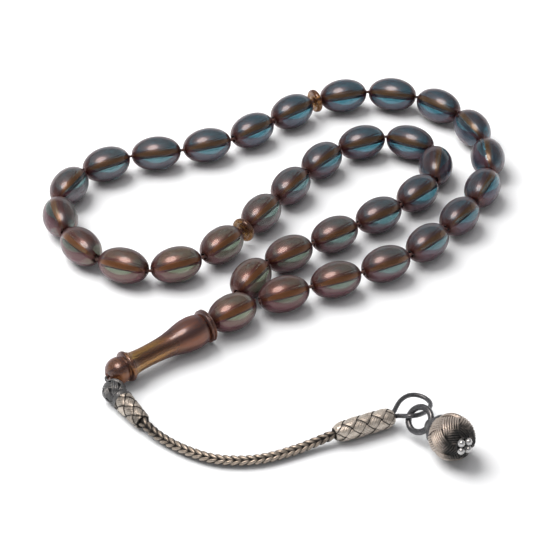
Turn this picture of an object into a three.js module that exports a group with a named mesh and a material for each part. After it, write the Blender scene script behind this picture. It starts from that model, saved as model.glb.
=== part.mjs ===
// Misbaha: a closed string of olive-shaped beads in three runs, lying on a table, with a neck bead,
// a turned imame and a silver wire tassel. Millimetres, +Z up, the table at z = 0.
// The plan is drawn around the junction, where the string's two ends meet, and shifted at the end.
import * as THREE from 'three';

// Beads
const BEAD_LENGTH = 14.7;
const BEAD_DIAMETER = 10;
const BORE_RADIUS = 0.9;
const STRING_RADIUS = 0.5;
const BEAD_GAP = 0.77;
const BEADS_PER_RUN = 11;
const RUNS = 3;
const BEND_CLEARANCE = 0.35;
const BEAD_SIDES = 10;

// Dividers, between the runs
const DIVIDER_PITCH = 2.6;
const DIVIDER_RADIUS = 3.4;

// Neck bead and imame. Lengths along the imame are counted from the neck bead's lower string bend.
const JUNCTION = new THREE.Vector2(1.9, -1.4);
const NECK_HEADING = 216.5;
const IMAME_HEADING = 218;
const COLLAR_RADIUS = 4.65;
const COLLAR_LENGTH = 1.9;
const IMAME_START = 2.2;
const IMAME_RING_AT = 26.7;
const IMAME_BALL_AT = 29.2;
const IMAME_BALL_RADIUS = 3.65;
const IMAME_RING_RADIUS = 4.3;
const IMAME_SIDES = 14;

// Tassel
const KNOT_RADIUS = 3.1;
const KNOT_CENTRE = new THREE.Vector3(-34.3, -35.3, KNOT_RADIUS);
const LINK_RADIUS = 0.6;
const SLEEVE_1_RADIUS = 2.75;
const SLEEVE_1_MOUTH_RADIUS = 2.2;
const SLEEVE_1_END = new THREE.Vector3(-26.5, -46, SLEEVE_1_MOUTH_RADIUS);
const CHAIN_RADIUS = 1.5;
const CHAIN_MOUTH_GAP = 0.45;
const CHAIN_SPLIT_GAP = 0.6;
const SLEEVE_2_RADIUS = 2.7;
const SLEEVE_2_START = new THREE.Vector3(22.2, -50.9, SLEEVE_2_RADIUS);
const SLEEVE_2_END = new THREE.Vector3(37.3, -44.4, SLEEVE_2_RADIUS);
const LOOP_WIRE_RADIUS = 0.6;
const BALL_RADIUS = 6.1;
const BALL_CENTRE = new THREE.Vector3(51.4, -55.6, BALL_RADIUS);
const RING_RADIUS = 3.25;
const RING_WIRE_RADIUS = 0.8;
const RING_CENTRE = new THREE.Vector3(43.8, -48.4, 5.3);
const RING_NORMAL = new THREE.Vector3(-0.535, -0.465, 0.707);
const ROSETTE_RADIUS = 2.3;
const ROSETTE_HEIGHT = 1.1;
const ROSETTE_DIRECTION = new THREE.Vector3(0.47, -0.84, 0.27);
const TOUCH_GAP = 0.3;
const WIRE_SIDES = 8;

// From the junction's plan to the frame whose origin is under the middle of the object
const PLAN_SHIFT = new THREE.Vector3(-7.9, -20.4, 0);

// The string's route over the table, from the junction round to the junction again
const STRING_ROUTE = [
  [2.5, -1.4], [16.7, 4.8], [31, 11], [44.5, 18.5], [55, 30], [64, 42.5], [70, 57], [69.5, 72],
  [63.5, 86], [51, 96], [36, 99], [21, 95], [7, 84], [-5, 74], [-19.5, 68.5], [-35, 65.5],
  [-48.5, 58], [-55.5, 44], [-52, 29], [-42.5, 17], [-28, 11.5], [-13.5, 17], [-2.5, 29],
  [7, 43.5], [15.5, 56.5], [25, 68.5], [39.5, 75.5], [54, 70.5], [54, 54], [43.5, 42],
  [30.5, 32.5], [18, 24], [4.6, 14.9], [-3.4, 1.7], [-4.6, -0.6],
];

// The chain's route from the first sleeve's mouth to the second's, sinking to the table between them
const CHAIN_ROUTE = [
  [-26.4, -46.1, 2.4], [-24.5, -48.4, 2.0], [-22.4, -50.4, 1.7], [-20, -52.3, 1.5],
  [-17.4, -54.2, 1.5], [-14.6, -55.9, 1.5], [-12, -57.2, 1.5], [-9.3, -58.3, 1.5],
  [-6.5, -59, 1.5], [-3.7, -59.3, 1.5], [0, -59.3, 1.5], [3.4, -58.8, 1.5],
  [6.2, -58, 1.5], [8.8, -57, 1.5], [13.8, -54.8, 1.6], [18, -52.8, 2.0], [22.2, -50.9, 2.6],
];
const CHAIN_SPLIT_AT = 0.5;

// The string's last bare stretch, round from the last bead to the junction
const STRING_RETURN = [[-3.4, 0.6], [-1, 0.7], [0.9, -0.5]];

// The wire loop's centre line, out of the second sleeve's end and back to it
const LOOP_ROUTE = [
  [38.1, -42.2, 3.6], [39.1, -40.1, 3.9], [40.9, -38.2, 4.0], [43.2, -37.4, 3.8],
  [45.6, -38, 3.4], [47.1, -40.1, 3.4], [46.6, -42.7, 3.9], [45.1, -45.2, 4.7],
  [43.1, -47.2, 5.6], [40.8, -47.9, 6.0], [39.4, -46.7, 5.0], [38.9, -45.5, 3.9],
];

const degrees = (angle) => THREE.MathUtils.degToRad(angle);
const group = new THREE.Group();
group.position.copy(PLAN_SHIFT);

const resin = { color: 0x6b5a5e, roughness: 0.18, metalness: 0 };
const amber = { color: 0x8a5a2c, roughness: 0.22, metalness: 0 };
const cord = { color: 0x2e1512, roughness: 0.8, metalness: 0 };
const silver = { color: 0xb8aba0, roughness: 0.35, metalness: 1 };
const darkSilver = { color: 0x4a4a4d, roughness: 0.4, metalness: 1 };

function addMesh(name, geometry, look) {
  const mesh = new THREE.Mesh(geometry, new THREE.MeshStandardMaterial(look));
  mesh.name = name;
  group.add(mesh);
  return mesh;
}

// A turned piece about the X axis. Each profile point is [distance along X, radius], and the facets,
// one of which faces straight down, touch the true surface of revolution.
function turned(profile, sides) {
  const toFacets = 1 / Math.cos(Math.PI / sides);
  const points = profile.map(([along, radius]) => new THREE.Vector2(radius * toFacets, along));
  const geometry = new THREE.LatheGeometry(points, sides, Math.PI / sides, 2 * Math.PI);
  return geometry.rotateZ(-Math.PI / 2);
}

function place(mesh, centre, heading) {
  mesh.position.copy(centre);
  mesh.rotation.z = heading;
}

function pointTowards(mesh, centre, direction) {
  const { x, y, z } = direction.clone().normalize();
  mesh.position.copy(centre);
  mesh.rotation.set(0, -Math.asin(z), Math.atan2(y, x), 'ZYX');
}

function polygon(radius, sides) {
  const shape = new THREE.Shape();
  for (let i = 0; i < sides; i++) {
    const angle = (2 * Math.PI * i) / sides;
    const x = radius * Math.cos(angle);
    const y = radius * Math.sin(angle);
    if (i === 0) shape.moveTo(x, y);
    else shape.lineTo(x, y);
  }
  shape.closePath();
  return shape;
}

function tube(curve, radius, steps) {
  const options = { steps, extrudePath: curve, bevelEnabled: false };
  return new THREE.ExtrudeGeometry(polygon(radius, WIRE_SIDES), options);
}

// A polyline as a curve, with its corners at equal steps of the parameter
class Polyline extends THREE.Curve {
  constructor(points) {
    super();
    this.points = points;
  }
  getPoint(t) {
    const steps = this.points.length - 1;
    const at = Math.min(Math.max(t, 0), 1) * steps;
    const index = Math.min(Math.floor(at), steps - 1);
    return this.points[index].clone().lerp(this.points[index + 1], at - index);
  }
  getPointAt(u) {
    return this.getPoint(u);
  }
  getTangentAt(u) {
    return this.getTangent(u);
  }
}

// Walks along a curve in straight links of the given lengths, and returns the links' ends
function walk(curve, lengths) {
  const samples = curve.getPoints(6000);
  const ends = [samples[0].clone()];
  let next = 1;
  for (const length of lengths) {
    const from = ends[ends.length - 1];
    while (next < samples.length - 1 && samples[next].distanceTo(from) < length) next++;
    ends.push(samples[next].clone());
  }
  return ends;
}

// How far a bead's middle is from the string's bend beside it. Two beads that meet at a sharp bend
// touch beside the string, so they need more room there.
function reach(bend) {
  const half = bend / 2;
  const along = (BEAD_LENGTH / 2) * Math.cos(half);
  const across = (BEAD_DIAMETER / 2) * Math.sin(half);
  const touching = Math.hypot(along, across) / Math.cos(half);
  return Math.max((BEAD_LENGTH + BEAD_GAP) / 2, touching + BEND_CLEARANCE / 2);
}

function headingOf(from, to) {
  return Math.atan2(to.y - from.y, to.x - from.x);
}

function bendAt(ends, index) {
  if (index < 1 || index > ends.length - 2) return 0;
  const before = headingOf(ends[index - 1], ends[index]);
  const after = headingOf(ends[index], ends[index + 1]);
  const turn = after - before;
  return Math.abs(Math.atan2(Math.sin(turn), Math.cos(turn)));
}

// The links of the loop, in order: every bead, with a divider after the first and second runs
const links = [];
for (let run = 0; run < RUNS; run++) {
  for (let i = 1; i <= BEADS_PER_RUN; i++) {
    links.push({ kind: 'bead', name: `bead_${String(run * BEADS_PER_RUN + i).padStart(2, '0')}` });
  }
  if (run < RUNS - 1) links.push({ kind: 'divider', name: `divider_${run + 1}` });
}

// The bends of the string, one between each pair of neighbouring links
const routePoints = STRING_ROUTE.map(([x, y]) => new THREE.Vector3(x, y, BEAD_DIAMETER / 2));
const route = new THREE.CatmullRomCurve3(routePoints, false, 'centripetal');
const lengthOf = (link, start, end) => (link.kind === 'bead' ? start + end : DIVIDER_PITCH);
const straight = reach(0);
let bends = walk(route, links.map((link) => lengthOf(link, straight, straight)));
for (let pass = 0; pass < 3; pass++) {
  const reaches = bends.map((_, i) => reach(bendAt(bends, i)));
  bends = walk(route, links.map((link, i) => lengthOf(link, reaches[i], reaches[i + 1])));
}

function beadGeometry() {
  const half = BEAD_LENGTH / 2;
  const end = half - 0.15;
  const profile = [[-end, BORE_RADIUS]];
  for (const share of [-0.86, -0.6, -0.25, 0.25, 0.6, 0.86]) {
    const round = (BEAD_DIAMETER / 2) * Math.sqrt(1 - share * share);
    profile.push([share * half, Math.abs(share) < 0.5 ? BEAD_DIAMETER / 2 : round]);
  }
  profile.push([end, BORE_RADIUS], [-end, BORE_RADIUS]);
  return turned(profile, BEAD_SIDES);
}

// A disc with a thick rim and a low hub
function dividerGeometry() {
  const side = [
    [1.0, BORE_RADIUS], [1.05, 1.5], [0.6, 2.0], [0.9, DIVIDER_RADIUS - 0.8],
    [0.8, DIVIDER_RADIUS - 0.3], [0.4, DIVIDER_RADIUS],
  ];
  const profile = [
    ...side.map(([along, radius]) => [-along, radius]),
    ...side.reverse(), [-1.0, BORE_RADIUS],
  ];
  return turned(profile, BEAD_SIDES);
}

// Beads and dividers, each midway between two bends. A bead beside a sharp bend sits off the middle.
links.forEach((link, i) => {
  const [start, end] = [bends[i], bends[i + 1]];
  const geometry = link.kind === 'bead' ? beadGeometry() : dividerGeometry();
  const centre = start.clone().lerp(end, 0.5);
  if (link.kind === 'bead') {
    const along = end.clone().sub(start).normalize();
    centre.copy(start).addScaledVector(along, reach(bendAt(bends, i)));
  }
  const mesh = addMesh(link.name, geometry, link.kind === 'bead' ? resin : amber);
  place(mesh, centre, headingOf(start, end));
});

// The string's centre line through some of the bends, straight inside each bore and rounded between.
// It stops short of its first and last bends, where the next length of string goes on.
function stringLine(points) {
  const shortOf = (bend, towards, by) => {
    const along = towards.clone().sub(bend);
    const length = along.length();
    return bend.clone().addScaledVector(along, Math.min(by, 0.45 * length) / length);
  };
  const line = [shortOf(points[0], points[1], TOUCH_GAP)];
  for (let i = 1; i < points.length - 1; i++) {
    const before = shortOf(points[i], points[i - 1], 1.0);
    const after = shortOf(points[i], points[i + 1], 1.0);
    const middle = before.clone().add(after).multiplyScalar(0.25).addScaledVector(points[i], 0.5);
    line.push(before, middle, after);
  }
  line.push(shortOf(points[points.length - 1], points[points.length - 2], TOUCH_GAP));
  return new Polyline(line);
}

function addString(name, points) {
  const line = stringLine(points);
  return addMesh(name, tube(line, STRING_RADIUS, line.points.length - 1), cord);
}

// Lengths of string, one for each stretch of the strand between two of its flex bends
const junction = new THREE.Vector3(JUNCTION.x, JUNCTION.y, BEAD_DIAMETER / 2);
const flexBends = [0, 13, 16, 20, 23, 25, 27, 31, 33, bends.length - 1];
for (let i = 0; i < flexBends.length - 1; i++) {
  const points = bends.slice(flexBends[i], flexBends[i + 1] + 1);
  if (i === flexBends.length - 2) {
    points.push(...STRING_RETURN.map(([x, y]) => new THREE.Vector3(x, y, BEAD_DIAMETER / 2)));
  }
  addString(`string_${i + 1}`, points);
}

// Neck bead on the doubled string
const neckAlong = new THREE.Vector3(Math.cos(degrees(NECK_HEADING)), Math.sin(degrees(NECK_HEADING)), 0);
const neckBend = junction.clone().addScaledVector(neckAlong, 2 * straight);
const neckBead = addMesh('neck_bead', beadGeometry(), resin);
place(neckBead, junction.clone().lerp(neckBend, 0.5), degrees(NECK_HEADING));
addString('string_neck', [junction, neckBend]);

// Imame and its collar, turned about one axis that sinks a little towards the tassel
const imameEnd = IMAME_BALL_AT + IMAME_BALL_RADIUS;
const imameStart = new THREE.Vector3(neckBend.x, neckBend.y, COLLAR_RADIUS);
const imameLevel = (IMAME_RING_RADIUS - COLLAR_RADIUS) / IMAME_RING_AT;
const imameAlong = new THREE.Vector3(
  Math.cos(degrees(IMAME_HEADING)), Math.sin(degrees(IMAME_HEADING)), imameLevel,
).normalize();
const collarProfile = [
  [0, BORE_RADIUS], [0.2, COLLAR_RADIUS - 0.7], [0.35, COLLAR_RADIUS], [0.65, COLLAR_RADIUS],
  [0.95, COLLAR_RADIUS - 0.5], [1.25, COLLAR_RADIUS], [1.55, COLLAR_RADIUS],
  [COLLAR_LENGTH, COLLAR_RADIUS - 0.6], [COLLAR_LENGTH, BORE_RADIUS], [0, BORE_RADIUS],
];
const collar = addMesh('imame_collar', turned(collarProfile, IMAME_SIDES), amber);
pointTowards(collar, imameStart, imameAlong);
const imameProfile = [
  [IMAME_START, BORE_RADIUS], [IMAME_START, 3.95], [4, 4.4], [5.8, 4.55], [8.3, 4.35],
  [11, 3.75], [14, 3.2], [18, 2.9], [22.5, 2.85], [24.8, 3.15],
  [IMAME_RING_AT - 0.8, 3.8], [IMAME_RING_AT, IMAME_RING_RADIUS], [IMAME_RING_AT + 0.7, 4.0],
  [IMAME_RING_AT + 1.0, 3.3],
];
for (const angle of [98, 66, 42, 20]) {
  const along = IMAME_BALL_AT + IMAME_BALL_RADIUS * Math.cos(degrees(angle));
  imameProfile.push([along, IMAME_BALL_RADIUS * Math.sin(degrees(angle))]);
}
imameProfile.push([imameEnd - 0.1, BORE_RADIUS], [IMAME_START, BORE_RADIUS]);
const imame = addMesh('imame', turned(imameProfile, IMAME_SIDES), amber);
pointTowards(imame, imameStart, imameAlong);
const imameTip = imameStart.clone().addScaledVector(imameAlong, imameEnd);
addString('string_imame', [imameStart, imameTip]);

// A wire link from the imame's end to the knotted ball
const pivot = imameTip.clone().addScaledVector(imameAlong, 0.3);
const toKnot = KNOT_CENTRE.clone().sub(pivot);
const linkEnd = KNOT_CENTRE.clone().addScaledVector(toKnot.clone().normalize(), -KNOT_RADIUS - 0.25);
const linkBulge = pivot.clone().lerp(linkEnd, 0.4).addScaledVector(imameAlong, 0.3);
const linkCurve = new THREE.QuadraticBezierCurve3(pivot, linkBulge, linkEnd);
addMesh('tassel_link', tube(linkCurve, LINK_RADIUS, 4), darkSilver);

const knot = addMesh('knot_ball', new THREE.SphereGeometry(KNOT_RADIUS, 14, 10), darkSilver);
knot.geometry.rotateX(Math.PI / 2);
knot.position.copy(KNOT_CENTRE);

// Woven sleeves, round bars: the first narrows to the chain's mouth and the second has rounded ends
function sleeveGeometry(length, outline) {
  const profile = [[0, 0], ...outline, [length, 0]];
  return turned(profile, 12);
}

const sleeve1Start = KNOT_CENTRE.clone().setZ(SLEEVE_1_RADIUS);
const fromKnot = SLEEVE_1_END.clone().sub(KNOT_CENTRE).setZ(0).normalize();
sleeve1Start.addScaledVector(fromKnot, KNOT_RADIUS + TOUCH_GAP);
const sleeve1Along = SLEEVE_1_END.clone().sub(sleeve1Start).normalize();
const sleeve1Length = SLEEVE_1_END.distanceTo(sleeve1Start);
const sleeve1Outline = [
  [0, 2.3], [0.6, SLEEVE_1_RADIUS], [sleeve1Length - 0.3, SLEEVE_1_MOUTH_RADIUS],
  [sleeve1Length, SLEEVE_1_MOUTH_RADIUS - 0.2],
];
const sleeve1 = addMesh('woven_sleeve_1', sleeveGeometry(sleeve1Length, sleeve1Outline), silver);
pointTowards(sleeve1, sleeve1Start, sleeve1Along);

const sleeve2Length = SLEEVE_2_END.distanceTo(SLEEVE_2_START);
const sleeve2Along = SLEEVE_2_END.clone().sub(SLEEVE_2_START).normalize();
const sleeve2Outline = [
  [0, 1.9], [2.2, SLEEVE_2_RADIUS], [sleeve2Length / 2, SLEEVE_2_RADIUS],
  [sleeve2Length - 2.2, SLEEVE_2_RADIUS], [sleeve2Length, 1.9],
];
const sleeve2 = addMesh('woven_sleeve_2', sleeveGeometry(sleeve2Length, sleeve2Outline), silver);
pointTowards(sleeve2, SLEEVE_2_START, sleeve2Along);

// The chain, in two halves that flex at its middle
const chainPoints = CHAIN_ROUTE.map(([x, y, z]) => new THREE.Vector3(x, y, z));
const chainCurve = new THREE.CatmullRomCurve3(chainPoints, false, 'centripetal');
const chainLength = chainCurve.getLength();

class Stretch extends THREE.Curve {
  constructor(curve, from, to) {
    super();
    this.curve = curve;
    this.from = from;
    this.to = to;
  }
  getPoint(t) {
    return this.curve.getPointAt(this.from + (this.to - this.from) * t);
  }
}

const mouthShare = CHAIN_MOUTH_GAP / chainLength;
const splitShare = CHAIN_SPLIT_GAP / 2 / chainLength;
const chainStretches = [
  ['chain_upper', mouthShare, CHAIN_SPLIT_AT - splitShare],
  ['chain_lower', CHAIN_SPLIT_AT + splitShare, 1 - mouthShare],
];
for (const [name, from, to] of chainStretches) {
  addMesh(name, tube(new Stretch(chainCurve, from, to), CHAIN_RADIUS, 10), silver);
}

// The wire loop in the second sleeve's end, the ring linked through it, and the ball on the ring
const loopPoints = LOOP_ROUTE.map(([x, y, z]) => new THREE.Vector3(x, y, z));
const loopCurve = new THREE.CatmullRomCurve3(loopPoints, false, 'centripetal');
addMesh('wire_loop', tube(loopCurve, LOOP_WIRE_RADIUS, 26), darkSilver);

const ring = addMesh('ball_ring', new THREE.TorusGeometry(RING_RADIUS, RING_WIRE_RADIUS, 8, 20), darkSilver);
ring.position.copy(RING_CENTRE);
ring.quaternion.setFromUnitVectors(new THREE.Vector3(0, 0, 1), RING_NORMAL.clone().normalize());

const ball = addMesh('wrapped_ball', new THREE.SphereGeometry(BALL_RADIUS, 18, 12), silver);
ball.geometry.rotateX(Math.PI / 2);
ball.position.copy(BALL_CENTRE);

const rosetteProfile = [
  [0.5, 0], [0, ROSETTE_RADIUS * 0.8], [0, ROSETTE_RADIUS], [ROSETTE_HEIGHT * 0.7, ROSETTE_RADIUS * 0.7],
  [ROSETTE_HEIGHT, 0],
];
const rosette = addMesh('granule_rosette', turned(rosetteProfile, 10), darkSilver);
const rosetteAlong = ROSETTE_DIRECTION.clone().normalize();
const rosetteBase = BALL_CENTRE.clone().addScaledVector(rosetteAlong, BALL_RADIUS + 0.1);
pointTowards(rosette, rosetteBase, rosetteAlong);

export default group;
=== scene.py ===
"""Misbaha prayer beads on a pale table: resin beads, dividers, a turned imame and a silver tassel.

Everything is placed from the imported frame. Lengths are in metres, built from millimetres where a
size is easier to read that way.
"""
import math

import bpy
import numpy as np
from mathutils import Matrix, Vector


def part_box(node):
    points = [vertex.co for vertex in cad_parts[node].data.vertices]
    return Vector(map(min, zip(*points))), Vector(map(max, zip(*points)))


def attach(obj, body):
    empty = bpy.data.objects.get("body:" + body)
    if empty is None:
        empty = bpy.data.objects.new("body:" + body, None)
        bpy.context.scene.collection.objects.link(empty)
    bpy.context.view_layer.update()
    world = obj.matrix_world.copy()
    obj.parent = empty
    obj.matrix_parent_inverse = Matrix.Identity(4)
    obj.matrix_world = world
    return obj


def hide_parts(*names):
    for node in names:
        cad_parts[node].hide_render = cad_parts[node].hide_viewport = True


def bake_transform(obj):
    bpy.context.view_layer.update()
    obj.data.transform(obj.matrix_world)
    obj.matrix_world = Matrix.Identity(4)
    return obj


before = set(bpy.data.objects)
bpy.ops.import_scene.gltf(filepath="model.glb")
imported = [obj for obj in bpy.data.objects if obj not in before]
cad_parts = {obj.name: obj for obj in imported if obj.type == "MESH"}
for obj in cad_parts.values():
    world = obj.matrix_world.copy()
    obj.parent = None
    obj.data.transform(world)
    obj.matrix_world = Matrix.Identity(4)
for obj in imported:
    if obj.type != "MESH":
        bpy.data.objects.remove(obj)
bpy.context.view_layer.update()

MM = 0.001

# How far a round piece stays inside its faceted CAD node
INSIDE = 0.985

# Camera
CAMERA_PLACE = (-0.0007, -0.4658, 0.3749)
CAMERA_ELEVATION = 39.09
CAMERA_LENS = 140.1
CAMERA_SENSOR = 36

# Beads and string
BEADS_PER_RUN = 11
RUNS = 3
BEAD_LENGTH = 14.7 * MM
BEAD_RADIUS = 5 * MM
BORE_RADIUS = 0.9 * MM
STRING_RADIUS = 0.5 * MM
STRING_LAY = 1.9 * MM
STRING_STEP = 0.22 * MM

# The bends between links, counted from 0, at which one length of string hinges on the next
FLEX_BENDS = [0, 13, 16, 20, 23, 25, 27, 31, 33, 35]

# The window of painted light in a bead's film, where the clear resin shows through, in degrees
# round the bead: its top edge, and how far its middle reaches below that
WINDOW_TOP = 27.0
WINDOW_DEPTH = 29.0

# The direction that the film's bronze band faces, nearly the direction to the camera, and the band's
# height round the bead. The band is a painted see-through image of the string in the bore.
FILM_FACES = np.array([0, -0.776, 0.631])
FILM_MIDDLE = math.radians(39)

# Chain
CHAIN_DIAMETER = 3 * MM
CHAIN_WIRE_RADIUS = 0.57 * MM
CHAIN_TUCK = 1.2 * MM
CHAIN_LINK_PITCH = 1.95 * MM
CHAIN_LINK_RISE = 2.5 * MM
CHAIN_LINK_TURN = math.radians(40)

# The chain's route from the first sleeve's mouth to the second's, as in the CAD
CHAIN_ROUTE = [
    (-0.0343, -0.0665, 0.0024), (-0.0324, -0.0688, 0.0020), (-0.0303, -0.0708, 0.0017),
    (-0.0279, -0.0727, 0.0015), (-0.0253, -0.0746, 0.0015), (-0.0225, -0.0763, 0.0015),
    (-0.0199, -0.0776, 0.0015), (-0.0172, -0.0787, 0.0015), (-0.0144, -0.0794, 0.0015),
    (-0.0116, -0.0797, 0.0015), (-0.0079, -0.0797, 0.0015), (-0.0045, -0.0792, 0.0015),
    (-0.0017, -0.0784, 0.0015), (0.0009, -0.0774, 0.0015), (0.0059, -0.0752, 0.0016),
    (0.0101, -0.0732, 0.0020), (0.0143, -0.0713, 0.0026),
]

# The wire loop's centre line, as in the CAD
LOOP_ROUTE = [
    (0.0302, -0.0626, 0.0036), (0.0312, -0.0605, 0.0039), (0.0330, -0.0586, 0.0040),
    (0.0353, -0.0578, 0.0038), (0.0377, -0.0584, 0.0034), (0.0392, -0.0605, 0.0034),
    (0.0387, -0.0631, 0.0039), (0.0372, -0.0656, 0.0047), (0.0352, -0.0676, 0.0056),
    (0.0329, -0.0683, 0.0060), (0.0315, -0.0671, 0.0050), (0.0310, -0.0659, 0.0039),
]

# The string's last bare stretch, from the last bead round to the junction, as in the CAD
STRING_RETURN = [(-0.0113, -0.0198, 0.005), (-0.0089, -0.0197, 0.005), (-0.0070, -0.0209, 0.005)]
JUNCTION = (-0.0060, -0.0218, 0.005)


# ---------------------------------------------------------------- camera

def make_camera():
    camera = bpy.data.objects.new("camera", bpy.data.cameras.new("camera"))
    bpy.context.scene.collection.objects.link(camera)
    camera.location = CAMERA_PLACE
    camera.rotation_euler = (math.radians(90 - CAMERA_ELEVATION), 0, 0)
    camera.data.lens = CAMERA_LENS
    camera.data.sensor_width = CAMERA_SENSOR
    camera.data.clip_start = 0.01
    bpy.context.scene.camera = camera


make_camera()


# ---------------------------------------------------------------- shapes

def unit(v):
    return v / np.linalg.norm(v)


def smoothstep(x, low, high):
    t = np.clip((np.asarray(x, float) - low) / (high - low), 0, 1)
    return t * t * (3 - 2 * t)


def catmull_rom(points, steps):
    """Points along the centripetal Catmull-Rom curve through points, steps to each span."""
    points = [np.array(p, float) for p in points]
    ends = [2 * points[0] - points[1]] + points + [2 * points[-1] - points[-2]]
    line = []
    for p0, p1, p2, p3 in zip(ends, ends[1:], ends[2:], ends[3:]):
        t0 = 0
        t1 = t0 + math.sqrt(np.linalg.norm(p1 - p0))
        t2 = t1 + math.sqrt(np.linalg.norm(p2 - p1))
        t3 = t2 + math.sqrt(np.linalg.norm(p3 - p2))
        for t in np.linspace(t1, t2, steps, endpoint=False):
            a1 = p0 + (p1 - p0) * (t - t0) / (t1 - t0)
            a2 = p1 + (p2 - p1) * (t - t1) / (t2 - t1)
            a3 = p2 + (p3 - p2) * (t - t2) / (t3 - t2)
            b1 = a1 + (a2 - a1) * (t - t0) / (t2 - t0)
            b2 = a2 + (a3 - a2) * (t - t1) / (t3 - t1)
            line.append(b1 + (b2 - b1) * (t - t1) / (t2 - t1))
    line.append(points[-1])
    return np.array(line)


def resample(points, count):
    """count points at equal steps along a line of points."""
    steps = np.linalg.norm(np.diff(points, axis=0), axis=1)
    along = np.concatenate([[0], np.cumsum(steps)])
    wanted = np.linspace(0, along[-1], count)
    return np.stack([np.interp(wanted, along, points[:, i]) for i in range(3)], axis=1)


def length_of(points):
    return float(np.linalg.norm(np.diff(points, axis=0), axis=1).sum())


def frames_along(points, closed=False, first_side=(0, 0, 1)):
    """The direction, and two sideways directions, at each point, with no twist between points."""
    if closed:
        tangents = np.roll(points, -1, axis=0) - np.roll(points, 1, axis=0)
    else:
        tangents = np.gradient(points, axis=0)
    tangents /= np.linalg.norm(tangents, axis=1)[:, None]
    side = np.array(first_side, float)
    if abs(side @ tangents[0]) > 0.9:
        side = np.array([1.0, 0, 0])
    sides = []
    for tangent in tangents:
        side = unit(side - tangent * (side @ tangent))
        sides.append(side)
    sides = np.array(sides)
    return tangents, sides, np.cross(tangents, sides)


class Shape:
    """A mesh gathered grid by grid, with a wear value: 0 is deep or dirty and 1 high and rubbed. On
    the wrapped ball the value also carries painted shade.
    """

    def __init__(self):
        self.vertices = []
        self.faces = []
        self.wear = []

    def grid(self, rows, wear=1.0, closed_along=False, capped=False):
        """rows[i][j] is the point j around section i."""
        rows = np.asarray(rows, float)
        sections, around = rows.shape[:2]
        base = len(self.vertices)
        self.vertices.extend(rows.reshape(-1, 3).tolist())
        self.wear.extend(np.broadcast_to(wear, (sections, around)).reshape(-1).tolist())
        last = sections if closed_along else sections - 1
        for i in range(last):
            here = base + i * around
            after = base + ((i + 1) % sections) * around
            for j in range(around):
                k = (j + 1) % around
                self.faces.append((here + j, here + k, after + k, after + j))
        if capped:
            self.faces.append(tuple(base + j for j in reversed(range(around))))
            self.faces.append(tuple(base + (sections - 1) * around + j for j in range(around)))

    def wire(self, points, radius, sides=8, closed=False, wear=1.0, first_side=(0, 0, 1)):
        """A round wire along points, thinning at open ends so that they look rounded."""
        _, u, v = frames_along(points, closed, first_side)
        angles = np.linspace(0, 2 * math.pi, sides, endpoint=False)
        radii = np.broadcast_to(np.asarray(radius, float), (len(points),)).copy()
        if not closed:
            radii[0] *= 0.6
            radii[-1] *= 0.6
        ring = np.cos(angles)[:, None] * u[:, None] + np.sin(angles)[:, None] * v[:, None]
        rows = points[:, None] + ring * radii[:, None, None]
        if callable(wear):
            wear = wear(rows)
        self.grid(rows, wear, closed_along=closed, capped=not closed)

    def lathe(self, profile, sides, wear=1.0, closed=False):
        """Turned about the local X axis. Each profile point is (distance along X, radius)."""
        angles = np.linspace(0, 2 * math.pi, sides, endpoint=False)
        rows = [
            np.stack([np.full(sides, x), r * np.cos(angles), r * np.sin(angles)], axis=1)
            for x, r in profile
        ]
        self.grid(rows, wear, closed_along=closed)

    def ball(self, centre, radius, rings=16, sides=24, wear=1.0):
        lat = np.linspace(-math.pi / 2 + 0.02, math.pi / 2 - 0.02, rings)
        lon = np.linspace(0, 2 * math.pi, sides, endpoint=False)
        rows = [
            np.stack([np.cos(a) * np.cos(lon), np.cos(a) * np.sin(lon), np.full(sides, np.sin(a))], 1)
            for a in lat
        ]
        self.grid(np.array(centre) + radius * np.array(rows), wear, capped=True)

    def build(self, name, material, matrix=None):
        mesh = bpy.data.meshes.new(name)
        mesh.from_pydata(self.vertices, [], self.faces)
        mesh.validate()
        attribute = mesh.attributes.new("wear", "FLOAT", "POINT")
        attribute.data.foreach_set("value", np.array(self.wear, np.float32))
        mesh.polygons.foreach_set("use_smooth", [True] * len(mesh.polygons))
        mesh.materials.append(material)
        piece = bpy.data.objects.new(name, mesh)
        bpy.context.scene.collection.objects.link(piece)
        if matrix is not None:
            piece.matrix_world = matrix
        return piece


# ---------------------------------------------------------------- reading the frame

def points_of(node):
    vertices = [v.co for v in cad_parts[node].data.vertices]
    return np.unique(np.round(np.array(vertices, float), 6), axis=0)


def centre_of(node):
    low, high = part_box(node)
    return np.array((low + high) / 2)


def main_axis(node, which=2):
    """The direction of a node's largest spread, or with which=0 of its smallest."""
    points = points_of(node)
    _, vectors = np.linalg.eigh(np.cov((points - points.mean(axis=0)).T))
    return vectors[:, which]


def line_of(node, away_from, which=2):
    """A turned node's start, direction and length, counted away from a point."""
    points = points_of(node)
    middle = points.mean(axis=0)
    axis = main_axis(node, which)
    if axis @ (middle - np.array(away_from)) < 0:
        axis = -axis
    along = (points - middle) @ axis
    return middle + axis * along.min(), axis, float(along.max() - along.min())


def standing(start, direction, up=(0, 0, 1)):
    """The matrix that puts local X along direction and local Z as near up as it goes."""
    x = unit(np.array(direction, float))
    y = unit(np.cross(np.array(up, float), x))
    z = np.cross(x, y)
    matrix = Matrix((x, y, z)).transposed().to_4x4()
    matrix.translation = Vector(start)
    return matrix


# ---------------------------------------------------------------- materials

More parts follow.
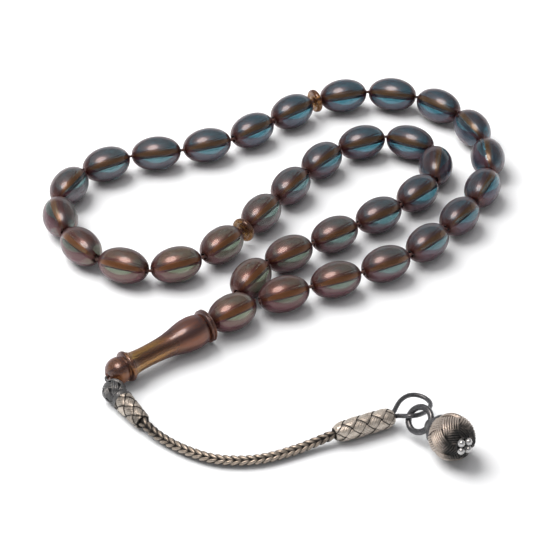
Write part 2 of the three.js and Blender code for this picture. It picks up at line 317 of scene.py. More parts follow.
class Nodes:
    """A material's node tree, with one short call for each kind of node."""

    def __init__(self, name):
        self.material = bpy.data.materials.new(name)
        self.material.use_nodes = True
        self.tree = self.material.node_tree
        self.tree.nodes.clear()
        self.output = self.tree.nodes.new("ShaderNodeOutputMaterial")

    def link(self, value, socket):
        if isinstance(value, bpy.types.NodeSocket):
            self.tree.links.new(value, socket)
        else:
            socket.default_value = value

    def add(self, kind, settings=None, **inputs):
        node = self.tree.nodes.new(kind)
        for key, value in (settings or {}).items():
            setattr(node, key, value)
        for key, value in inputs.items():
            self.link(value, node.inputs[key.replace("_", " ")])
        return node

    def math(self, operation, a, b=0.0):
        node = self.tree.nodes.new("ShaderNodeMath")
        node.operation = operation
        self.link(a, node.inputs[0])
        self.link(b, node.inputs[1])
        return node.outputs[0]

    def between(self, value, low, high):
        """0 where value is low, 1 where it is high, and smooth between."""
        node = self.tree.nodes.new("ShaderNodeMapRange")
        node.interpolation_type = "SMOOTHSTEP"
        self.link(value, node.inputs["Value"])
        node.inputs["From Min"].default_value = low
        node.inputs["From Max"].default_value = high
        return node.outputs["Result"]

    def mix(self, factor, a, b):
        node = self.tree.nodes.new("ShaderNodeMix")
        node.data_type = "RGBA"
        self.link(factor, node.inputs["Factor"])
        self.link(a, node.inputs["A"])
        self.link(b, node.inputs["B"])
        return node.outputs["Result"]

    def place(self, stretch=(1, 1, 1)):
        """The piece's own coordinates in millimetres, stretched for long grain."""
        where = self.tree.nodes.new("ShaderNodeTexCoord").outputs["Object"]
        scale = [s / MM for s in stretch]
        return self.add("ShaderNodeMapping", Vector=where, Scale=scale).outputs[0]

    def noise(self, scale, detail=3.0, roughness=0.5, stretch=(1, 1, 1)):
        """Noise with scale features to the millimetre."""
        return self.add(
            "ShaderNodeTexNoise", Vector=self.place(stretch), Scale=scale, Detail=detail,
            Roughness=roughness,
        ).outputs["Fac"]

    def wear(self):
        return self.add("ShaderNodeAttribute", {"attribute_name": "wear"}).outputs["Fac"]

    def bump(self, height, distance, strength=1.0):
        return self.add(
            "ShaderNodeBump", Height=height, Distance=distance * MM, Strength=strength
        ).outputs["Normal"]

    def finish(self, shader):
        self.tree.links.new(shader, self.output.inputs["Surface"])
        return self.material


def rgb(red, green, blue):
    return (red, green, blue, 1.0)


def translucent(m, body, film, rim, share, rough):
    """Tinted clear resin under a pearly film, whose colour turns to rim towards the outline."""
    through = m.add(
        "ShaderNodeBsdfPrincipled", Base_Color=body, Roughness=0.08, IOR=1.52,
        Transmission_Weight=1.0,
    )
    edge = m.add("ShaderNodeLayerWeight", Blend=0.5).outputs["Facing"]
    film = m.mix(m.between(edge, 0.35, 0.9), film, rim)
    pearl = m.add(
        "ShaderNodeBsdfPrincipled", Base_Color=film, Metallic=0.6, Roughness=rough,
        Coat_Weight=0.35, Coat_Roughness=0.2,
    )
    both = m.add("ShaderNodeMixShader", Fac=share)
    m.tree.links.new(through.outputs[0], both.inputs[1])
    m.tree.links.new(pearl.outputs[0], both.inputs[2])
    return m.finish(both.outputs[0])


def film_height(m):
    """How high round the piece a point is, in degrees: 0 level with its axis and 90 on top.

    Also how far along the piece it is, in millimetres."""
    where = m.add("ShaderNodeSeparateXYZ", Vector=m.place())
    angle = m.math("ARCTAN2", where.outputs["Z"], m.math("ABSOLUTE", where.outputs["Y"]))
    ripple = m.math("MULTIPLY", m.math("SUBTRACT", m.noise(0.3, stretch=(0.4, 1, 1)), 0.5), 6.0)
    return m.math("ADD", m.math("MULTIPLY", angle, 180 / math.pi), ripple), where.outputs["X"]


def bead_resin():
    """Smoky resin with a blue heart. Its pearly film is dark on top, with a painted bronze band round
    the shoulder that stands for the string in the bore seen through the resin, and it thins in a
    lens-shaped window on each flank, painted light coming through."""
    m = Nodes("bead_resin")
    blue = m.wear()
    fine = m.noise(1.6, detail=2, stretch=(0.25, 1, 1))
    cloud = m.noise(0.5, detail=4, stretch=(0.4, 1, 1))
    height, along = film_height(m)
    share_along = m.math("ABSOLUTE", m.math("DIVIDE", along, BEAD_LENGTH / 2 / MM))
    # The window: a lens of painted light on each flank, where the film gives way to the clear resin
    window_end = m.math("ADD", m.math("MULTIPLY", blue, 0.12), 0.7)
    squared = m.math("POWER", m.math("DIVIDE", share_along, window_end), 2.0)
    reach = m.math("MULTIPLY", m.math("ADD", m.math("MULTIPLY", blue, 0.3), 0.7), WINDOW_DEPTH)
    depth = m.math("MULTIPLY", m.math("SUBTRACT", 1.0, squared), reach)
    floor = m.math("SUBTRACT", WINDOW_TOP, depth)
    above_floor = m.between(m.math("SUBTRACT", height, floor), -1.5, 1.5)
    over_window = m.between(height, WINDOW_TOP - 1.5, WINDOW_TOP + 1.5)
    window = m.math("MULTIPLY", above_floor, m.math("SUBTRACT", 1.0, over_window))
    body = m.mix(blue, rgb(0.55, 0.70, 0.48), rgb(0.16, 0.56, 0.72))
    skirt = m.mix(blue, rgb(0.14, 0.036, 0.05), rgb(0.085, 0.033, 0.052))
    # The bronze band round the shoulder: a painted see-through image of the string in the bore
    band = m.mix(blue, rgb(0.21, 0.075, 0.022), rgb(0.125, 0.065, 0.026))
    slate = m.mix(blue, rgb(0.105, 0.08, 0.085), rgb(0.042, 0.06, 0.082))
    plum = m.mix(blue, rgb(0.14, 0.045, 0.036), rgb(0.083, 0.048, 0.052))
    crown = m.mix(m.between(cloud, 0.32, 0.62), slate, plum)
    film = m.mix(over_window, skirt, band)
    film = m.mix(m.between(height, WINDOW_TOP + 13, WINDOW_TOP + 24), film, crown)
    film = m.mix(m.between(share_along, 0.70, 1.0), film, rgb(0.11, 0.03, 0.022))
    # Painted light: in the window the film thins so that the clear resin shows the light through it
    share = m.mix(window, rgb(0.72, 0.72, 0.72), rgb(0.12, 0.12, 0.12))
    rough = m.add("ShaderNodeMapRange", Value=fine, To_Min=0.33, To_Max=0.43).outputs["Result"]
    return translucent(m, body, film, rgb(0.085, 0.03, 0.04), share, rough)


def amber_resin():
    """Honey-amber resin under a film that turns to mauve and copper where the wear value is low."""
    m = Nodes("amber_resin")
    honey = m.wear()
    cloud = m.noise(0.3, detail=4, stretch=(0.35, 1, 1))
    fine = m.noise(1.4, detail=3, stretch=(0.2, 1, 1))
    height, _ = film_height(m)
    body = m.mix(m.between(cloud, 0.3, 0.7), rgb(0.52, 0.21, 0.025), rgb(0.46, 0.31, 0.08))
    body = m.mix(honey, rgb(0.42, 0.14, 0.06), body)
    low = m.mix(honey, rgb(0.17, 0.06, 0.035), rgb(0.21, 0.085, 0.018))
    top = m.mix(honey, rgb(0.115, 0.068, 0.068), rgb(0.135, 0.07, 0.05))
    film = m.mix(m.between(height, 15.0, 60.0), low, top)
    film = m.mix(m.math("MULTIPLY", m.between(fine, 0.4, 0.75), 0.8), film, rgb(0.18, 0.08, 0.05))
    share = m.mix(honey, rgb(0.66, 0.66, 0.66), rgb(0.46, 0.46, 0.46))
    rough = m.add("ShaderNodeMapRange", Value=fine, To_Min=0.30, To_Max=0.40).outputs["Result"]
    return translucent(m, body, film, rgb(0.14, 0.045, 0.06), share, rough)


def string_fibre():
    """Dark red-brown twisted cord, darker in its grooves."""
    m = Nodes("string_fibre")
    wear = m.wear()
    fibres = m.noise(4.0, detail=4)
    colour = m.mix(wear, rgb(0.012, 0.005, 0.004), rgb(0.085, 0.026, 0.018))
    colour = m.mix(m.between(fibres, 0.35, 0.7), colour, rgb(0.12, 0.045, 0.03))
    shader = m.add(
        "ShaderNodeBsdfPrincipled", Base_Color=colour, Roughness=0.72, Sheen_Weight=0.25,
        Normal=m.bump(fibres, 0.05, 0.8),
    )
    return m.finish(shader.outputs[0])


def woven_silver(name, bright, dark, polish):
    """Silver wire, rubbed bright on the high spots, with black oxide deep between the wires."""
    m = Nodes(name)
    wear = m.wear()
    blotch = m.noise(0.6, detail=5, roughness=0.6)
    scratch = m.noise(3.0, detail=3)
    height = m.math("ADD", wear, m.math("MULTIPLY", m.math("SUBTRACT", blotch, 0.5), 0.7))
    rubbed = m.between(height, 0.25, 0.85)
    duller = rgb(bright[0] * 0.8, bright[1] * 0.76, bright[2] * 0.7)
    warm = m.mix(m.between(scratch, 0.35, 0.65), bright, duller)
    colour = m.mix(rubbed, dark, warm)
    rough = m.add(
        "ShaderNodeMapRange", Value=rubbed, To_Min=0.6, To_Max=polish
    ).outputs["Result"]
    shader = m.add(
        "ShaderNodeBsdfPrincipled", Base_Color=colour, Metallic=0.65, Roughness=rough,
        Normal=m.bump(scratch, 0.01, 0.3),
    )
    return m.finish(shader.outputs[0])


def dark_wire():
    """Blackened silver wire with draw lines and small bright nicks."""
    m = Nodes("dark_wire")
    nicks = m.noise(2.5, detail=5, roughness=0.65)
    colour = m.mix(m.between(nicks, 0.45, 0.75), rgb(0.085, 0.085, 0.09), rgb(0.20, 0.20, 0.205))
    rough = m.add("ShaderNodeMapRange", Value=nicks, To_Min=0.42, To_Max=0.24).outputs["Result"]
    shader = m.add(
        "ShaderNodeBsdfPrincipled", Base_Color=colour, Metallic=0.7, Roughness=rough,
        Normal=m.bump(nicks, 0.02, 0.4),
    )
    return m.finish(shader.outputs[0])


def table_top():
    m = Nodes("table_top")
    grain = m.noise(0.02, detail=6)
    colour = m.mix(grain, rgb(0.90, 0.90, 0.90), rgb(0.93, 0.93, 0.93))
    shader = m.add("ShaderNodeBsdfPrincipled", Base_Color=colour, Roughness=0.9)
    shader.inputs["Specular IOR Level"].default_value = 0.1
    return m.finish(shader.outputs[0])


RESIN = bead_resin()
AMBER = amber_resin()
STRING = string_fibre()
SILVER = woven_silver("woven_silver", rgb(0.62, 0.56, 0.50), rgb(0.03, 0.026, 0.023), 0.4)
CHAIN_SILVER = woven_silver("chain_silver", rgb(0.38, 0.325, 0.275), rgb(0.018, 0.016, 0.015), 0.36)
KNOT_SILVER = woven_silver("knot_silver", rgb(0.172, 0.174, 0.18), rgb(0.02, 0.021, 0.023), 0.34)
BALL_SILVER = woven_silver("ball_silver", rgb(0.47, 0.41, 0.37), rgb(0.02, 0.02, 0.02), 0.34)
GRANULE_SILVER = woven_silver("granule_silver", rgb(0.52, 0.52, 0.53), rgb(0.02, 0.02, 0.02), 0.24)
DARK = dark_wire()


# ---------------------------------------------------------------- the chain

def make_chain():
    """A loop-in-loop chain: each link is a ring bent into a U, and its two ends hold the next
    link's fold."""
    seen = catmull_rom(CHAIN_ROUTE, 24)
    into_first = seen[0] - unit(seen[2] - seen[0]) * CHAIN_TUCK
    into_second = seen[-1] + unit(seen[-1] - seen[-3]) * CHAIN_TUCK
    line = resample(np.vstack([into_first, seen, into_second]), 600)
    total = length_of(line)
    tangents, sides, ups = frames_along(line)
    along = np.linspace(0, total, len(line))

    def at(distance, side, up):
        d = np.clip(distance, 0, total)
        point = np.stack([np.interp(d, along, line[:, i]) for i in range(3)], 1)
        n = np.stack([np.interp(d, along, sides[:, i]) for i in range(3)], 1)
        b = np.stack([np.interp(d, along, ups[:, i]) for i in range(3)], 1)
        return point + n * side[:, None] + b * up[:, None]

    radius = CHAIN_DIAMETER / 2 - CHAIN_WIRE_RADIUS
    around = np.linspace(0, 2 * math.pi, 40, endpoint=False)
    count = int((total - CHAIN_LINK_RISE) / CHAIN_LINK_PITCH) + 1
    first = (total - CHAIN_LINK_RISE - (count - 1) * CHAIN_LINK_PITCH) / 2
    reach = np.abs(np.cos(around))
    fold = np.sign(np.sin(around)) * np.abs(np.sin(around)) ** 0.8
    ends = np.sign(np.cos(around)) * reach ** 0.8
    plump = np.abs(np.sin(2 * around))
    size = radius * (0.84 + 0.16 * plump) / np.maximum(np.hypot(fold, ends), 1e-6)
    a, b = fold * size, ends * size
    side = a * math.cos(CHAIN_LINK_TURN) - b * math.sin(CHAIN_LINK_TURN)
    up = a * math.sin(CHAIN_LINK_TURN) + b * math.cos(CHAIN_LINK_TURN)
    shape = Shape()
    for k in range(count):
        place = first + k * CHAIN_LINK_PITCH
        distance = place + CHAIN_LINK_RISE * (1 - reach)
        points = at(distance, side, up)
        # Darker towards both ends of the chain, where it goes into the sleeves
        dimmer_at_ends = 0.62 + 0.38 * float(smoothstep(min(place, total - place), 2 * MM, 17 * MM))

        def rubbed(rows, centre=at(distance, side * 0, up * 0), dimmer_at_ends=dimmer_at_ends):
            away = np.linalg.norm(rows - centre[:, None], axis=2)
            return smoothstep(away, radius * 1.02, radius + CHAIN_WIRE_RADIUS) * dimmer_at_ends

        shape.wire(points, CHAIN_WIRE_RADIUS * (0.74 + 0.26 * plump), 8, closed=True, wear=rubbed)
    shape.wire(line[4:-4], CHAIN_DIAMETER * 0.34, 10, wear=0.1)
    chain = shape.build("braided_chain", CHAIN_SILVER)
    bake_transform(chain)
    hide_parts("chain_upper", "chain_lower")


make_chain()


# ---------------------------------------------------------------- beads, dividers and string

def link_names():
    names = []
    for run in range(RUNS):
        names += [f"bead_{run * BEADS_PER_RUN + i:02d}" for i in range(1, BEADS_PER_RUN + 1)]
        if run < RUNS - 1:
            names.append(f"divider_{run + 1}")
    return names


LINKS = link_names()


def link_lines():
    """Each link's two ends, in order along the string."""
    centres = [centre_of(name) for name in LINKS]
    lines = []
    for i, name in enumerate(LINKS):
        is_bead = name.startswith("bead")
        axis = main_axis(name, 2 if is_bead else 0)
        onward = centres[min(i + 1, len(LINKS) - 1)] - centres[max(i - 1, 0)]
        axis = unit(axis if axis @ onward > 0 else -axis)
        along = (points_of(name) - centres[i]) @ axis
        half = axis * along.max()
        lines.append((centres[i] - half, centres[i] + half))
    return lines


def bead_profile():
    """Round the outside from one mouth of the bore to the other, and back through the bore."""
    half = BEAD_LENGTH / 2
    mouth = 0.28 * MM
    profile = []
    start = math.asin((BORE_RADIUS + mouth) / BEAD_RADIUS)
    for angle in np.linspace(start, math.pi - start, 44):
        profile.append((-half * math.cos(angle), BEAD_RADIUS * math.sin(angle)))
    end = profile[-1][0]
    lip = [(end - 0.02 * MM, BORE_RADIUS + mouth * 0.45), (end - 0.12 * MM, BORE_RADIUS + 0.04 * MM)]
    inside = [(x, BORE_RADIUS) for x in np.linspace(end - 0.3 * MM, -end + 0.3 * MM, 10)]
    profile += lip + inside + [(-x, r) for x, r in reversed(lip)]
    return profile


def make_bead(node, body):
    """A bead at its node's place, with its local X along the string and its film's painted band and
    windows turned towards the camera.
    """
    centre = centre_of(node)
    axis = main_axis(node)
    if axis[0] < 0:
        axis = -axis
    imame = centre_of("imame")
    blue = float(smoothstep(np.linalg.norm(centre - imame), 0.03, 0.11))
    # The film is turned to face FILM_FACES, nearly the direction to the camera, so that its painted
    # band and windows sit where this view sees them
    front = unit(FILM_FACES - axis * (FILM_FACES @ axis))
    top = front * math.sin(FILM_MIDDLE) + np.cross(front, axis) * math.cos(FILM_MIDDLE)
    shape = Shape()
    shape.lathe(bead_profile(), 56, wear=blue, closed=True)
    bead = shape.build(f"{node}_resin", RESIN, standing(centre, axis, top))
    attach(bead, body)
    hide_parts(node)


def make_divider(node):
    """A disc with a thick round rim, dished on each face about a low hub."""
    centre = centre_of(node)
    axis = main_axis(node, 0)
    half = np.abs((points_of(node) - centre) @ axis).max()
    radius = np.linalg.norm(points_of(node) - centre, axis=1).max() * INSIDE
    thick = half * 0.84
    face = [
        (half * 0.8, BORE_RADIUS), (half * 0.98, BORE_RADIUS * 1.15), (half, radius * 0.36),
        (half * 0.88, radius * 0.45), (half * 0.58, radius * 0.56), (half * 0.56, radius * 0.62),
        (half * 0.7, radius * 0.68),
    ]
    for angle in np.linspace(0, 0.5 * math.pi, 9)[:-1]:
        face.append((thick * math.cos(angle) ** 0.8, radius * (0.75 + 0.25 * math.sin(angle))))
    outside = [(-x, r) for x, r in face] + [(0, radius)] + list(reversed(face))
    shape = Shape()
    shape.lathe(outside + [(0, BORE_RADIUS)], 56, wear=0.8, closed=True)
    piece = shape.build(f"{node}_resin", AMBER, standing(centre, axis))
    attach(piece, node)
    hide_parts(node)


def make_string(name, through, body, node):
    """Two plies twisted about each other along the points that the string goes through."""
    line = catmull_rom(through, 8)
    line = resample(line, max(12, int(length_of(line) / STRING_STEP)))
    _, u, v = frames_along(line)
    turn = np.linspace(0, length_of(line), len(line)) * (2 * math.pi / STRING_LAY)
    ply = STRING_RADIUS * 0.56
    shape = Shape()
    for start in (0, math.pi):
        offset = u * np.cos(turn + start)[:, None] + v * np.sin(turn + start)[:, None]
        points = line + offset * (STRING_RADIUS - ply)

        def rubbed(rows, centre=line):
            away = np.linalg.norm(rows - centre[:, None], axis=2)
            return smoothstep(away, 0.1 * STRING_RADIUS, STRING_RADIUS)

        shape.wire(points, ply, 8, wear=rubbed)
    string = shape.build(name, STRING)
    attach(string, body)
    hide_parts(node)


def make_strand():
    lines = link_lines()
    starts = [start for start, _ in lines]
    ends = [end for _, end in lines]
    bends = [starts[0]] + [(end + start) / 2 for end, start in zip(ends, starts[1:])] + [ends[-1]]
    for k, (first, last) in enumerate(zip(FLEX_BENDS, FLEX_BENDS[1:]), start=1):
        through = [bends[first]]
        for i in range(first, last):
            through += [starts[i] * 0.98 + ends[i] * 0.02, (starts[i] + ends[i]) / 2]
            through += [starts[i] * 0.02 + ends[i] * 0.98]
        through.append(bends[last])
        if last == FLEX_BENDS[-1]:
            through += STRING_RETURN + [JUNCTION]
        make_string(f"string_{k}_cord", through, f"strand_{k}", f"string_{k}")
    for name in LINKS:
        if name.startswith("bead"):
            make_bead(name, name)
        else:
            make_divider(name)
    make_bead("neck_bead", "neck_bead")


make_strand()


# ---------------------------------------------------------------- neck string and imame

def imame_profile(length):
    """The imame's outline: a vase, a long stem, a ring and a ball, with its bore."""
    outline = [
        (0, 3.8), (0.3, 4.02), (1.8, 4.4), (3.6, 4.54), (6.1, 4.35), (8.8, 3.75), (11.8, 3.2),
        (15.8, 2.92), (20.2, 2.9), (22.4, 3.15), (23.4, 3.6),
    ]
    smooth = catmull_rom([(x, r, 0) for x, r in outline], 5)[:, :2] * MM
    profile = [(float(x), float(r)) for x, r in smooth]
    ring_at, ring_radius = 24.4 * MM, 0.68 * MM
    for angle in np.linspace(-0.8, 0.75, 11) * math.pi / 1.5:
        along = ring_at + ring_radius * math.sin(angle)
        profile.append((along, 3.6 * MM + ring_radius * math.cos(angle)))
    ball_at, ball_radius = 27.0 * MM, 3.64 * MM
    profile.append((25.15 * MM, 3.02 * MM))
    for angle in np.linspace(118, 17, 22):
        turn = math.radians(angle)
        profile.append((ball_at + ball_radius * math.cos(turn), ball_radius * math.sin(turn)))
    tip = profile[-1][0]
    stretch = length / (tip + 0.1 * MM)
    profile = [(x * stretch, r) for x, r in profile]
    bore = [(x, BORE_RADIUS) for x in np.linspace(length - 0.1 * MM, 0.0, 14)]
    return profile + bore


def make_imame():
    neck = centre_of("neck_bead")
    start, axis, length = line_of("imame", neck)
    shape = Shape()
    profile = imame_profile(length)
    along = np.array([x for x, _ in profile])
    honey = smoothstep(along, 7 * MM, 15 * MM) * (1 - 0.75 * smoothstep(along, 22.5 * MM, 25 * MM))
    shape.lathe(profile, 72, wear=honey[:, None], closed=True)
    imame = shape.build("imame_resin", AMBER, standing(start, axis))
    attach(imame, "imame")
    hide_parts("imame")

    collar_start, _, collar_length = line_of("imame_collar", neck, which=0)
    rims = [
        (0, 1.6), (0.1, 3.3), (0.18, 4.0), (0.32, 4.48), (0.48, 4.62), (0.66, 4.52), (0.82, 4.18),
        (0.93, 4.05), (1.05, 4.18), (1.2, 4.5), (1.38, 4.62), (1.56, 4.5), (1.72, 4.15),
        (1.9, 3.6), (1.9, 2.4), (1.9, 0.9), (0.1, 0.9),
    ]
    shape = Shape()
    stretch = collar_length / (1.9 * MM)
    shape.lathe([(x * MM * stretch, r * MM) for x, r in rims], 72, wear=0.1, closed=True)
    collar = shape.build("imame_collar_resin", AMBER, standing(collar_start, axis))
    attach(collar, "imame")
    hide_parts("imame_collar")

    neck_axis = main_axis("neck_bead")
    if neck_axis @ (start - neck) < 0:
        neck_axis = -neck_axis
    half = neck_axis * (BEAD_LENGTH / 2)
    neck_bend = neck + neck_axis * (BEAD_LENGTH / 2 + 0.38 * MM)
    through = [np.array(JUNCTION), neck - half, neck + half, neck_bend]
    make_string("string_neck_cord", through, "neck", "string_neck")
    tip = start + axis * (length + 0.3 * MM)
    through = [neck_bend, start, (start + tip) / 2, tip]
    make_string("string_imame_cord", through, "imame", "string_imame")
    return tip, axis


imame_tip, imame_axis = make_imame()


# ---------------------------------------------------------------- tassel

def wrap_ball(shape, centre, radius, axis, leads, bights, wires, wire_radius, reach, lift, oxide_and_shade=0):
    """Bands of parallel wires woven round a ball in a Turk's head of that many leads and bights.

    With the last argument above 0 the wear falls by as much towards the axis end: painted shade on
    that side of the ball, with some oxide there."""
    z = unit(np.array(axis, float))
    x = unit(np.cross(z, [0.3, 0.2, 1.0]))
    y = np.cross(z, x)
    t = np.linspace(0, 2 * math.pi, 26 * leads * bights, endpoint=False)
    phase = bights * t
    lat = math.radians(reach) * np.cos(phase)
    lon = leads * t
    heights = radius + lift * np.sin((leads - 1) * phase)

    def on_ball(lat, lon):
        flat = np.cos(lat)[:, None] * (np.cos(lon)[:, None] * x + np.sin(lon)[:, None] * y)
        return flat + np.sin(lat)[:, None] * z

    middle = on_ball(lat, lon)
    tangents = np.roll(middle, -1, axis=0) - np.roll(middle, 1, axis=0)
    tangents /= np.linalg.norm(tangents, axis=1)[:, None]
    across = np.cross(middle, tangents)

    def rubbed(rows):
        away = np.linalg.norm(rows, axis=2)
        # Lower towards the axis end: painted shade on that side of the ball, with some oxide
        oxide_and_shade_factor = 1 - oxide_and_shade * smoothstep(rows @ z / away, 0.1, 0.85)
        return smoothstep(away, radius - lift * 0.9, radius + lift + wire_radius * 0.6) * oxide_and_shade_factor

    for w in range(wires):
        offset = (w - (wires - 1) / 2) * 2 * wire_radius
        points = middle * radius + across * offset
        points *= (heights / np.linalg.norm(points, axis=1))[:, None]
        base = len(shape.vertices)
        shape.wire(points, wire_radius, 6, closed=True, wear=rubbed)
        moved = np.array(shape.vertices[base:]) + np.array(centre)
        shape.vertices[base:] = moved.tolist()


def band_section(wires):
    """A flat band of parallel wires cut across: positions from -1 to 1 and heights from 0 to 1."""
    top = []
    for w in range(wires):
        for u in (-0.95, -0.4, 0.4, 0.95):
            across = (2 * w + 1 + u) / wires - 1
            groove = 0.74 + 0.26 * math.sqrt(1 - u * u)
            top.append((across, groove * (1 - abs(across) ** 8 * 0.5)))
    bottom = [(across, 0.0) for across, _ in reversed(top[::3])]
    return np.array(top + bottom).T


def weave_sleeve(shape, length, radius_at, bands, wires, lift, pitch, bright):
    """Flat bands plaited both ways round the local X axis, each over one band and under the next.

    bright is the highest wear that the bands reach."""
    steps = max(60, int(length / (0.12 * MM)))
    x = np.linspace(0, length, steps)
    radii = np.array([radius_at(v) for v in x])
    middle = radii.max()
    helix = math.atan2(2 * math.pi * middle, pitch)
    half_width = math.pi * middle / bands * math.cos(helix) * 0.97
    spread, height = band_section(wires)
    slant = spread * half_width / math.cos(helix) / middle
    thick = 1.5 * lift
    for hand in (1, -1):
        phase = bands * (2 * math.pi * x[:, None] / pitch + hand * slant[None, :] / 2)
        over = hand * np.tanh(2.2 * np.cos(phase)) / math.tanh(2.2)
        r = radii[:, None] - lift + over * lift + (height[None, :] - 1) * thick
        edge = 1 - smoothstep(np.abs(spread), 0.8, 1.0)
        lines = smoothstep(height, 0.6, 1.0)
        crossing = np.round(phase / math.pi)
        wear = smoothstep(over, -1.1, 0.4) * (0.1 + 0.9 * edge * (0.5 + 0.5 * lines))[None, :]
        for band in range(bands):
            patch = 0.86 + 0.14 * np.sin(crossing * 2.4 + band * 1.9 + hand * 1.3)
            angle = 2 * math.pi * (hand * x[:, None] / pitch + band / bands) + slant[None, :]
            along = np.broadcast_to(x[:, None], angle.shape)
            rows = np.stack([along, r * np.cos(angle), r * np.sin(angle)], axis=2)
            shape.grid(rows, wear * patch * bright, capped=True)
    core = [(0.05 * MM, 0.2 * MM)]
    core += [(float(a), float(r - 2 * lift - thick * 0.8)) for a, r in zip(x[1:-1:4], radii[1:-1:4])]
    core += [(length - 0.05 * MM, 0.2 * MM)]
    shape.lathe(core, 32, wear=0.0)


def make_sleeve(node, body, away_from, bands, wires, pitch, outline, bright=1.0):
    """A woven sleeve whose outline gives its radius, as a share of the node's, along its length."""
    start, axis, length = line_of(node, away_from)
    offsets = points_of(node) - start
    radius = np.linalg.norm(offsets - np.outer(offsets @ axis, axis), axis=1).max() * INSIDE
    places, shares = zip(*outline)
    shape = Shape()
    weave_sleeve(
        shape, length, lambda x: radius * np.interp(x / length, places, shares), bands, wires,
        0.19 * MM, pitch, bright,
    )
    sleeve = shape.build(f"{node}_silver", SILVER, standing(start, axis))
    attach(sleeve, body)
    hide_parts(node)


def make_tassel():
    knot = centre_of("knot_ball")
    low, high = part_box("knot_ball")
    knot_radius = (high.z - low.z) / 2
    mouth = np.array(CHAIN_ROUTE[0])
    along = unit((mouth - knot) * np.array([1, 1, 0]))
    shape = Shape()
    shape.ball(knot, knot_radius - 0.25 * MM, wear=0.2)
    wrap_ball(shape, knot, knot_radius - 0.14 * MM, along, 5, 6, 4, 0.21 * MM, 74, 0.12 * MM)
    across = unit(np.cross(along, [0, 0, 1.0]))
    turn = np.linspace(0, 2 * math.pi, 40, endpoint=False)
    for distance, radius in [(2.9, 2.2), (3.3, 2.4), (3.7, 2.6), (4.1, 2.66)]:
        hoop = np.cos(turn)[:, None] * across + np.sin(turn)[:, None] * np.array([0, 0, 1.0])
        centre = knot + along * distance * MM - np.array([0, 0, distance * 0.1 * MM])
        shape.wire(centre + hoop * radius * MM, 0.22 * MM, 8, closed=True, wear=0.7, first_side=along)
    ball = shape.build("knot_ball_silver", KNOT_SILVER)
    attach(ball, "tassel_top")
    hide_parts("knot_ball")

    toward = unit(knot - imame_tip)
    link_end = knot - toward * (knot_radius - 0.1 * MM)
    bulge = imame_tip + imame_axis * 0.4 * MM + (link_end - imame_tip) * 0.4
    shape = Shape()
    shape.wire(catmull_rom([imame_tip, bulge, link_end], 8), 0.42 * MM, 12)
    link = shape.build("tassel_link_wire", DARK)
    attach(link, "tassel_top")
    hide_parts("tassel_link")

    tapered = [(0, 0.86), (0.06, 0.97), (0.25, 0.96), (0.7, 0.86), (0.95, 0.79), (1, 0.74)]
    rounded = [
        (0, 0.62), (0.04, 0.77), (0.1, 0.9), (0.18, 0.97), (0.3, 1), (0.75, 1), (0.86, 0.97),
        (0.93, 0.88), (0.97, 0.78), (1, 0.6),
    ]
    make_sleeve("woven_sleeve_1", "tassel_top", knot, 4, 5, 15.5 * MM, tapered, 0.8)
    make_sleeve("woven_sleeve_2", "tassel_end", CHAIN_ROUTE[-1], 4, 5, 16.5 * MM, rounded)


make_tassel()


# ---------------------------------------------------------------- wire loop, ring and wrapped ball

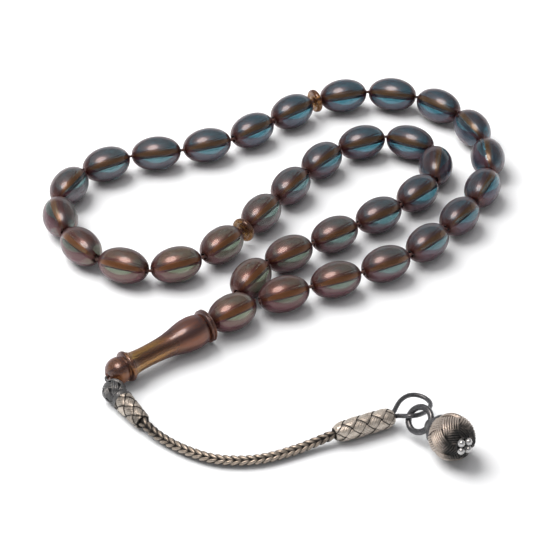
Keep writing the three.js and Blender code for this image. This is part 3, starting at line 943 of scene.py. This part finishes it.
def make_pendant():
    shape = Shape()
    sleeve_end, sleeve_axis, sleeve_length = line_of("woven_sleeve_2", CHAIN_ROUTE[-1])
    route = [np.array(p) for p in LOOP_ROUTE]
    route = [route[0] * 2.1 - route[1] * 1.1] + route + [route[-1] * 1.9 - route[-2] * 0.9]
    deep = sleeve_end + sleeve_axis * (sleeve_length - 1.5 * MM)
    route = [deep * 0.5 + route[0] * 0.5] + route + [deep * 0.5 + route[-1] * 0.5]
    wire = resample(catmull_rom(route, 12), 140)
    for _ in range(25):
        wire[1:-1] = wire[1:-1] / 2 + (wire[:-2] + wire[2:]) / 4
    shape.wire(wire, 0.6 * MM, 16)
    loop = shape.build("wire_loop_dark", DARK)
    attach(loop, "tassel_end")
    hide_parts("wire_loop")

    ring_centre = centre_of("ball_ring")
    normal = main_axis("ball_ring", 0)
    across = unit(np.cross(normal, [0, 0, 1.0]))
    other = np.cross(normal, across)
    turn = np.linspace(0, 2 * math.pi, 64, endpoint=False)
    reach = np.linalg.norm(points_of("ball_ring") - ring_centre, axis=1).max()
    ring_wire = 0.8 * MM
    circle = np.cos(turn)[:, None] * across + np.sin(turn)[:, None] * other
    shape = Shape()
    centre_line = ring_centre + circle * (reach - ring_wire)
    shape.wire(centre_line, ring_wire, 14, closed=True, first_side=normal)
    ball_centre = centre_of("wrapped_ball")
    low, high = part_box("wrapped_ball")
    ball_radius = (high.z - low.z) / 2
    to_ball = unit(ball_centre - ring_centre)
    ring = shape.build("ball_ring_dark", DARK)
    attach(ring, "pendant")
    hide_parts("ball_ring")

    # The dark cap, as (height above the ball's surface, radius) in millimetres
    cap = [
        (-1.75, 3.8), (-1.35, 3.96), (-0.85, 3.75), (-0.2, 3.1), (0.5, 2.4), (1.1, 1.9),
        (1.6, 1.55), (1.9, 1.2), (1.95, 0.1),
    ]
    shape = Shape()
    shape.lathe([(ball_radius + x * MM, r * MM) for x, r in cap], 32)
    bail = shape.build("ball_cap_dark", DARK, standing(ball_centre, -to_ball))
    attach(bail, "pendant")

    rosette_at = centre_of("granule_rosette")
    axis = unit(rosette_at - ball_centre)
    shape = Shape()
    shape.ball(ball_centre, ball_radius - 1.0 * MM, 24, 32, wear=0.0)
    # Darker towards the rosette: painted shade on the ball's unlit side, with some oxide round the
    # granules
    wrap_ball(
        shape, ball_centre, ball_radius - 0.62 * MM, axis, 5, 6, 7, 0.29 * MM, 62, 0.3 * MM,
        oxide_and_shade=0.7,
    )
    ball = shape.build("wrapped_ball_silver", BALL_SILVER)
    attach(ball, "pendant")
    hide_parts("wrapped_ball")

    x = unit(np.cross(axis, [0, 0, 1.0]))
    y = np.cross(axis, x)
    base = ball_centre + axis * (ball_radius - 0.1 * MM)
    shape = Shape()
    for k in range(4):
        angle = 2 * math.pi * (k / 4 + 0.1)
        spot = base + (x * math.cos(angle) + y * math.sin(angle)) * 1.45 * MM
        shape.ball(spot, 1.0 * MM, wear=1.0)
    shape.ball(base + axis * 0.3 * MM, 0.6 * MM, wear=0.3)
    turn = np.linspace(0, 2 * math.pi, 48, endpoint=False)
    circle = np.cos(turn)[:, None] * x + np.sin(turn)[:, None] * y
    rim = base - axis * 0.35 * MM + circle * 2.15 * MM
    shape.wire(rim, 0.3 * MM, 8, closed=True, wear=0.25)
    rosette = shape.build("granule_rosette_silver", GRANULE_SILVER)
    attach(rosette, "pendant")
    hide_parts("granule_rosette")


make_pendant()


# ---------------------------------------------------------------- table and light

def area_light(name, location, target, size, power, colour=(1, 1, 1), glossy=True):
    light = bpy.data.lights.new(name, "AREA")
    light.shape = "DISK"
    light.size = size
    light.energy = power
    light.color = colour
    lamp = bpy.data.objects.new(name, light)
    bpy.context.scene.collection.objects.link(lamp)
    lamp.location = location
    lamp.rotation_euler = (Vector(target) - Vector(location)).to_track_quat("-Z", "Y").to_euler()
    lamp.visible_glossy = glossy
    lamp.visible_camera = False
    return lamp


# The room's brightness by the height of the direction: a pale backdrop under a dim ceiling
SKY = [
    (0.0, (1.0, 1.0, 1.0, 1.0)), (1.0, (0.17, 0.17, 0.18, 1.0)),
    (0.22, (0.85, 0.85, 0.86, 1.0)), (0.42, (0.22, 0.22, 0.23, 1.0)),
]


def make_studio():
    mesh = bpy.data.meshes.new("table_top")
    half = 3.0
    drop = -0.05 * MM
    corners = [(-half, -half, drop), (half, -half, drop), (half, half, drop), (-half, half, drop)]
    mesh.from_pydata(corners, [], [(0, 1, 2, 3)])
    mesh.materials.append(table_top())
    table = bpy.data.objects.new("table_top", mesh)
    bpy.context.scene.collection.objects.link(table)

    world = bpy.data.worlds.new("world")
    world.use_nodes = True
    tree = world.node_tree
    direction = tree.nodes.new("ShaderNodeTexCoord")
    parts = tree.nodes.new("ShaderNodeSeparateXYZ")
    tree.links.new(direction.outputs["Generated"], parts.inputs[0])
    ramp = tree.nodes.new("ShaderNodeValToRGB")
    tree.links.new(parts.outputs["Z"], ramp.inputs["Fac"])
    for element, (at, colour) in zip(ramp.color_ramp.elements, SKY):
        element.position = at
        element.color = colour
    for at, colour in SKY[2:]:
        ramp.color_ramp.elements.new(at).color = colour
    tree.links.new(ramp.outputs["Color"], tree.nodes["Background"].inputs["Color"])
    tree.nodes["Background"].inputs["Strength"].default_value = 1.0
    bpy.context.scene.world = world

    area_light("key", (-0.65, 0.45, 0.95), (0, 0, 0), 1.35, 29, glossy=False)
    area_light("fill", (0.1, -0.1, 1.4), (0, 0, 0), 1.2, 3.5, glossy=False)
    softbox = area_light(
        "softbox", (-0.15, -0.2, 1.15), (0, 0, 0), 0.72, 14.5, colour=(1.0, 0.91, 0.84)
    )
    softbox.visible_diffuse = False
    softbox.visible_transmission = False
    bpy.context.scene.cycles.caustics_refractive = False
    bpy.context.scene.cycles.caustics_reflective = False
    bpy.context.scene.view_settings.view_transform = "Standard"


make_studio()
